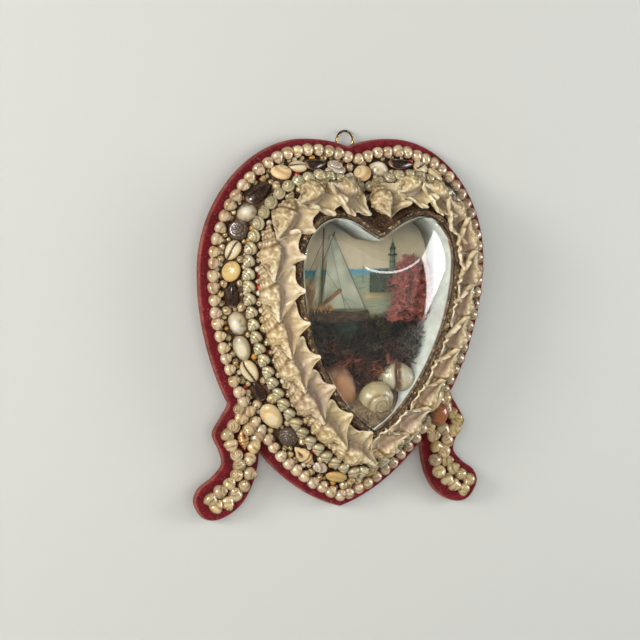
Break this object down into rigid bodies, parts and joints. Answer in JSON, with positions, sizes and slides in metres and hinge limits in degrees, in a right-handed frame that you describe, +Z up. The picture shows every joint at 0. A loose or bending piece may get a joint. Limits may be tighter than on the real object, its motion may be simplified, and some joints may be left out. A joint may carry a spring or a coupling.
{
  "type": "sailors valentine",
  "caption": "Velvet-covered heart on scrolled feet, set with rows of seashells round a domed glass heart over a small seaside scene; hangs on a brass ring.",
  "frame": {"origin": "inner top of the hanging ring, where a nail bears, in the plane of the board's back", "axes": "+Z up along the heart's height, +X to the right seen from the front, and the front faces -Y"},
  "size_m": [0.223, 0.0621, 0.2551],
  "materials": {
    "crimson_velvet": "deep crimson velvet, worn paler along its rounded edge",
    "brown_ground": "matt gummy ground that the shells are set in",
    "painted_card": "painted card with a sanded foreground",
    "clear_glass": "clear, polished, slightly wavy",
    "gilt_brown_bead": "rough brown bead with glittering flecks",
    "brass": "aged brass, dull with brighter rubbed places",
    "cream_pearl": "cream and beige mother-of-pearl",
    "green_pearl": "mother-of-pearl with a mint and pink sheen",
    "foot_pearl": "cream mother-of-pearl",
    "mixed_shells": "glossy shells in cream, yellow, brown and lilac",
    "ochre_shell": "cream and ochre shell, ribbed and half matt",
    "pearl_shell": "lilac-grey mother-of-pearl",
    "round_shell": "cream, smooth and glossy",
    "yellow_shell": "warm yellow, smooth and glossy",
    "oval_shell": "pale grey-cream, smooth",
    "cowrie": "cream porcelain gloss with a toothed slit",
    "ringed_cowrie": "cream porcelain gloss with an orange ring",
    "mussel": "brown-black with a pale rim",
    "whelk": "cream and tan, finely ribbed",
    "limpet": "chalky cream, ribbed, with a pearly crown",
    "top_shell": "grey-brown with banded whorls"
  },
  "bodies": {
    "root": {"cowrie_01": "cowrie", "cowrie_02": "cowrie", "cowrie_03": "cowrie", "cowrie_04": "cowrie", "foot_shells_left": "foot_pearl", "foot_shells_right": "foot_pearl", "glass_bead": "gilt_brown_bead", "glass_dome": "clear_glass", "hanging_ring": "brass", "inner_pearl_row": "green_pearl", "limpet_01": "limpet", "limpet_02": "limpet", "limpet_03": "limpet", "middle_row_right": "mixed_shells", "mussel_01": "mussel", "mussel_02": "mussel", "mussel_03": "mussel", "mussel_04": "mussel", "mussel_05": "mussel", "mussel_06": "mussel", "outer_pearl_row": "cream_pearl", "oval_shell_01": "oval_shell", "pearl_shell_01": "pearl_shell", "pearl_shell_02": "pearl_shell", "pelican_foot_shell_01": "ochre_shell", "pelican_foot_shell_02": "ochre_shell", "pelican_foot_shell_03": "ochre_shell", "pelican_foot_shell_04": "ochre_shell", "pelican_foot_shell_05": "ochre_shell", "pelican_foot_shell_06": "ochre_shell", "pelican_foot_shell_07": "ochre_shell", "pelican_foot_shell_08": "ochre_shell", "pelican_foot_shell_09": "ochre_shell", "pelican_foot_shell_10": "ochre_shell", "pelican_foot_shell_11": "ochre_shell", "pelican_foot_shell_12": "ochre_shell", "pelican_foot_shell_13": "ochre_shell", "pelican_foot_shell_14": "ochre_shell", "pelican_foot_shell_15": "ochre_shell", "pelican_foot_shell_16": "ochre_shell", "pelican_foot_shell_17": "ochre_shell", "pelican_foot_shell_18": "ochre_shell", "pelican_foot_shell_19": "ochre_shell", "pelican_foot_shell_20": "ochre_shell", "pelican_foot_shell_21": "ochre_shell", "pelican_foot_shell_22": "ochre_shell", "picture_card": "painted_card", "ring_strap": "brass", "ringed_cowrie_01": "ringed_cowrie", "round_shell_01": "round_shell", "round_shell_02": "round_shell", "round_shell_03": "round_shell", "shell_bed": "brown_ground", "top_shell_01": "top_shell", "top_shell_02": "top_shell", "velvet_board": "crimson_velvet", "whelk_01": "whelk", "yellow_shell_01": "yellow_shell", "yellow_shell_02": "yellow_shell"}
  },
  "joints": []
}
